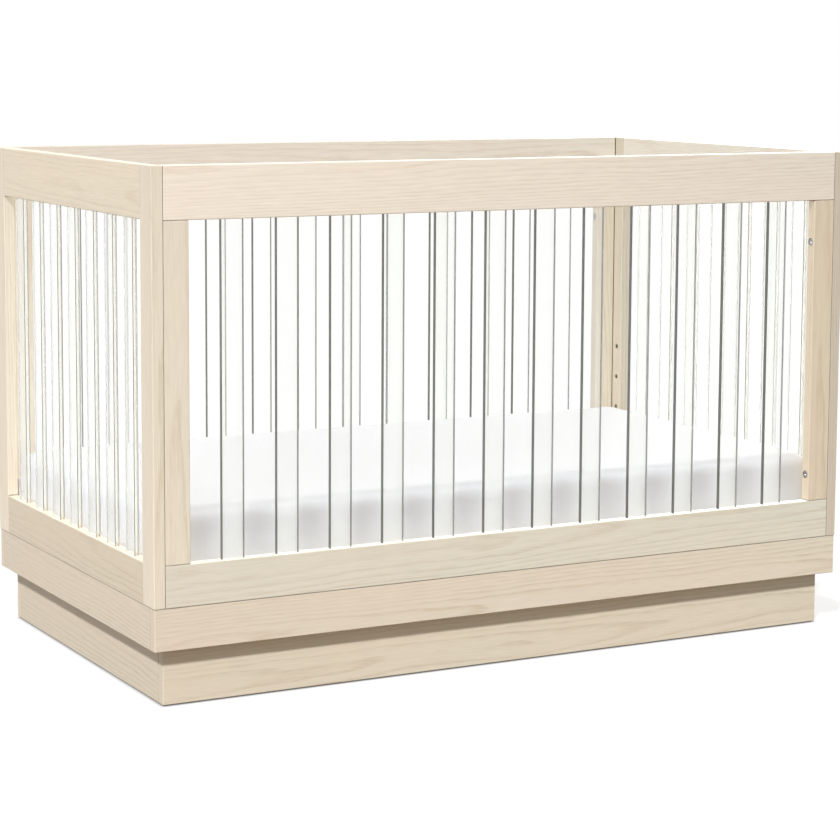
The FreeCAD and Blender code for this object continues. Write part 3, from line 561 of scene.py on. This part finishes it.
# %% [markdown]
# ## Floor, light and camera
# The crib stands in a plain white studio: a pale floor that runs out to a white backdrop, one large
# soft key light above and to the left of the front, and light from all round. The backdrop and the
# floor look brighter when seen than the light they send on, so white stays white round pale wood. The
# floor's glow fades close to the plinth, which leaves the fine dark line of something that stands.

# %% Floor and backdrop
floor_half = 14.0
backdrop_glow = 1.0
room_light = 0.48
floor_seen = "#959595"      # the floor's own tone; with the light under it the two add up to white
under_light = 0.70          # a floor lit from below, as a light table is, keeps shadows faint
contact_reach = 0.008       # the light under it fails this near to the plinth, which grounds the crib
floor_bounce = "#82725A"    # what the floor sends back up: dim and warm, so the overhang's shadow is brown


def seen_directly(tree):
    """1 for what is seen, straight, through a slat or as a reflection, and 0 for light on its way."""
    ray = add(tree, "ShaderNodeLightPath")
    straight = add(tree, "ShaderNodeMath", {0: ray.outputs["Is Camera Ray"],
                                            1: ray.outputs["Is Transmission Ray"]},
                   operation="MAXIMUM")
    return add(tree, "ShaderNodeMath", {0: straight.outputs[0], 1: ray.outputs["Is Glossy Ray"]},
               operation="MAXIMUM")


floor_mesh = bpy.data.meshes.new("floor")
floor_mesh.from_pydata([(-floor_half, -floor_half, 0), (floor_half, -floor_half, 0),
                        (floor_half, floor_half, 0), (-floor_half, floor_half, 0)], [], [(0, 1, 2, 3)])
floor = bpy.data.objects.new("floor", floor_mesh)
bpy.context.scene.collection.objects.link(floor)
floor_material, floor_tree = new_material("painted_floor")
floor_colour = add(floor_tree, "ShaderNodeMix", {"Factor": seen_directly(floor_tree).outputs[0],
                                                 FIRST: solid(floor_bounce), SECOND: solid(floor_seen)},
                   data_type="RGBA")
close_by = add(floor_tree, "ShaderNodeAmbientOcclusion", {"Distance": contact_reach}, samples=8)
open_glow = add(floor_tree, "ShaderNodeMath", {0: close_by.outputs["AO"], 1: under_light},
                operation="MULTIPLY")
floor_glow = add(floor_tree, "ShaderNodeMath", {0: seen_directly(floor_tree).outputs[0],
                                                1: open_glow.outputs[0]}, operation="MULTIPLY")
show(floor_tree, add(floor_tree, "ShaderNodeBsdfPrincipled",
                     {"Base Color": floor_colour.outputs[MIXED], "Roughness": 1.0, "Specular IOR Level": 0.0,
                      "Emission Color": solid("#FFFFFF"), "Emission Strength": floor_glow.outputs[0]}))
floor_mesh.materials.append(floor_material)

world = bpy.data.worlds.new("studio")
bpy.context.scene.world = world
world.use_nodes = True
world.node_tree.nodes.clear()
glow = add(world.node_tree, "ShaderNodeMapRange", {"Value": seen_directly(world.node_tree).outputs[0],
                                                   "To Min": room_light, "To Max": backdrop_glow})
backdrop = add(world.node_tree, "ShaderNodeBackground", {"Color": (1, 1, 1, 1),
                                                         "Strength": glow.outputs[0]})
add(world.node_tree, "ShaderNodeOutputWorld", {"Surface": backdrop.outputs[0]})
print("floor and backdrop ready")

# %% [markdown]
# ## Lamps
# A sun lamp stands for the key, because its shadows keep one direction over the whole crib. The inside
# is lit by white bounce as well, so one lamp lights everything and a second lights the outer boards
# only. Light linking says which pieces a lamp lights and which stop it: here rails and slats throw no
# shadow across the mattress. This is a retoucher's light, not one that a real room would give.


# %% Key light and back light
def sun(name, towards, strength, softness):
    """A lamp far away in one direction; softness is the angle its disc fills, in degrees."""
    lamp = bpy.data.objects.new(name, bpy.data.lights.new(name, "SUN"))
    lamp.data.energy = strength
    lamp.data.angle = math.radians(softness)
    lamp.rotation_euler = Vector(towards).to_track_quat("Z", "Y").to_euler()
    bpy.context.scene.collection.objects.link(lamp)
    return lamp


towards_key = (-0.52, -0.53, 0.68)
key_softness = 4
key = sun("key", towards_key, 2.0, key_softness)
outside_key = sun("outside_key", towards_key, 1.45, key_softness)
back_light = sun("back_light", (0.62, 0.70, 0.35), 1.9, 20)
back_light.data.use_shadow = False

# Only the base and the mattress stop the key.
base_boards = [board for board in wooden if "skirt" in board or "plinth" in board]
blockers = bpy.data.collections.new("key_blockers")
for board in base_boards:
    blockers.objects.link(frame["nodes"][board])
blockers.objects.link(cover)
key.light_linking.blocker_collection = blockers

# The second lamp is kept to the base, the front and the left end.
outside = bpy.data.collections.new("lit_outside")
for board in wooden:
    if board in base_boards or board.startswith(("front_", "left_")):
        outside.objects.link(frame["nodes"][board])
outside_key.light_linking.receiver_collection = outside
outside_key.light_linking.blocker_collection = outside

# %% [markdown]
# ## Camera
# A long lens stands well back, a little above the top rail and to the left, so that the front is seen
# nearly square and the left end at a slant. Shifting the lens down takes in the base without tilting
# the camera further, which keeps the stiles close to upright. The Standard view leaves white as white.

# %% Camera
bpy.context.scene.view_settings.view_transform = "Standard"
yaw, pitch, roll = math.radians(28.29), math.radians(6.75), math.radians(0.30)
camera = bpy.data.objects.new("camera", bpy.data.cameras.new("camera"))
camera.data.lens = 106.1           # millimetres, on a sensor 36 mm wide
camera.data.sensor_width = 36
camera.data.shift_y = -0.10
camera.matrix_world = (Matrix.Translation((-2.158, -4.020, 1.077)) @ Matrix.Rotation(-yaw, 4, "Z")
                       @ Matrix.Rotation(math.pi / 2 - pitch, 4, "X") @ Matrix.Rotation(roll, 4, "Z"))
bpy.context.scene.collection.objects.link(camera)
bpy.context.scene.camera = camera
print("camera", round((camera.location - crib_middle).length, 2), "m away")
